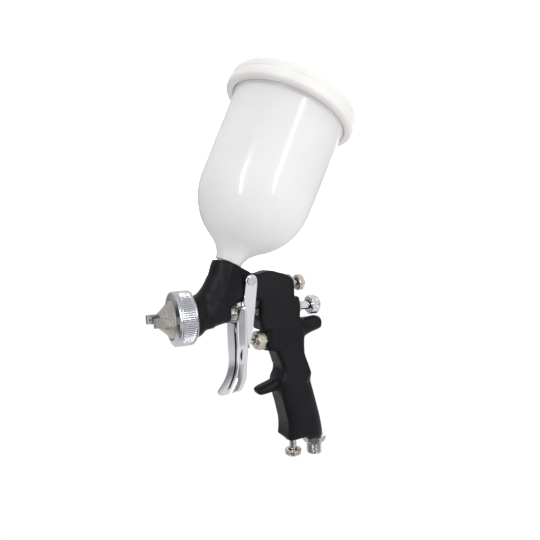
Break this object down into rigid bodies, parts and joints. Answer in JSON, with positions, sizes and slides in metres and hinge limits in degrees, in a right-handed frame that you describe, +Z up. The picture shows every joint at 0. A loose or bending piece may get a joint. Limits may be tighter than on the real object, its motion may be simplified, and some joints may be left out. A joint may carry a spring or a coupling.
{
  "type": "gravity-feed spray gun",
  "caption": "Hand-held gravity-feed spray gun with a tilted translucent paint cup, horned air cap, pull trigger and thumb-screw controls.",
  "frame": {"origin": "centre of the air inlet's end face", "axes": "spray direction is -X, +Z runs up from the inlet through the handle towards the cup, +Y is the gun's right side seen from behind"},
  "size_m": [0.1787, 0.111, 0.3291],
  "materials": {
    "black_body": "satin black anodised and coated aluminium",
    "chrome": "polished chrome",
    "nickel": "warm turned nickel plate",
    "steel": "ground stainless steel",
    "cup_plastic": "milky translucent polypropylene",
    "lid_plastic": "white polyethylene",
    "seal": "PTFE",
    "rubber": "nitrile rubber"
  },
  "bodies": {
    "gun": {"gun_body": "black_body", "fluid_nozzle": "steel", "air_distributor": "steel", "needle_packing": "seal", "packing_nut": "nickel", "needle_guide": "nickel", "needle_spring": "steel", "fluid_bush": "nickel", "fan_bush": "nickel", "air_valve_body": "nickel", "air_valve_seal": "seal", "air_valve_spring": "steel", "trigger_pin": "steel", "trigger_clip": "steel", "air_flow_bush": "nickel", "air_inlet": "chrome", "inlet_seal": "seal"},
    "cap": {"air_cap": "nickel"},
    "ring": {"retaining_ring": "chrome"},
    "trigger_arm": {"trigger": "chrome"},
    "needle_set": {"needle": "steel", "needle_collar": "nickel"},
    "valve_rod": {"air_valve_stem": "steel", "air_valve_poppet": "steel"},
    "fluid_control": {"fluid_screw": "chrome", "fluid_knob": "chrome"},
    "fan_control": {"fan_spindle": "steel", "fan_oring": "rubber", "fan_knob": "nickel", "fan_knob_screw": "steel"},
    "air_control": {"air_flow_spindle": "steel", "air_flow_oring": "rubber", "air_flow_knob": "nickel", "air_flow_knob_screw": "steel"},
    "cup_set": {"cup": "cup_plastic", "cup_strainer": "lid_plastic"},
    "lid_set": {"lid": "lid_plastic", "lid_gasket": "seal"},
    "vent": {"vent_cap": "lid_plastic"}
  },
  "joints": [
    {"name": "ring_turn", "type": "hinge", "parent": "gun", "child": "ring", "pos_m": [-0.115, 0, 0.1305], "axis": [-1, 0, 0], "range_deg": [0, 360]},
    {"name": "cap_turn", "type": "hinge", "parent": "gun", "child": "cap", "pos_m": [-0.12, 0, 0.1305], "axis": [-1, 0, 0], "range_deg": [-90, 90]},
    {"name": "trigger_pull", "type": "hinge", "parent": "gun", "child": "trigger_arm", "pos_m": [-0.0608, 0, 0.1562], "axis": [0, -1, 0], "range_deg": [0, 9], "stiffness_Nm_per_rad": 1.2, "springref_deg": -14.32},
    {"name": "needle_draw", "type": "slide", "parent": "gun", "child": "needle_set", "axis": [1, 0, 0], "range_m": [0, 0.00406], "deforming": ["needle_spring"]},
    {"name": "air_valve_open", "type": "slide", "parent": "gun", "child": "valve_rod", "axis": [1, 0, 0], "range_m": [0, 0.00807], "deforming": ["air_valve_spring"]},
    {"name": "fluid_turn", "type": "hinge", "parent": "gun", "child": "fluid_control", "pos_m": [0.002, 0, 0.1305], "axis": [1, 0, 0], "range_deg": [0, 720]},
    {"name": "fan_turn", "type": "hinge", "parent": "gun", "child": "fan_control", "pos_m": [-0.01, 0, 0.1507], "axis": [1, 0, 0], "range_deg": [0, 360]},
    {"name": "air_flow_turn", "type": "hinge", "parent": "gun", "child": "air_control", "pos_m": [-0.0213, 0, 0.006], "axis": [0, 0, -1], "range_deg": [0, 360]},
    {"name": "cup_turn", "type": "hinge", "parent": "gun", "child": "cup_set", "pos_m": [-0.0747, 0, 0.1709], "axis": [0.4431, 0, 0.8965], "range_deg": [0, 720]},
    {"name": "lid_lift", "type": "slide", "parent": "cup_set", "child": "lid_set", "axis": [0.4431, 0, 0.8965], "range_m": [0, 0.06]},
    {"name": "vent_turn", "type": "hinge", "parent": "lid_set", "child": "vent", "pos_m": [-0.00868, 0, 0.30448], "axis": [0.4431, 0, 0.8965], "range_deg": [0, 180]}
  ],
  "couplings": [
    {"joint": "needle_draw", "follows": "trigger_pull", "m_per_rad": 0.0257},
    {"joint": "air_valve_open", "follows": "trigger_pull", "m_per_rad": 0.0511}
  ]
}
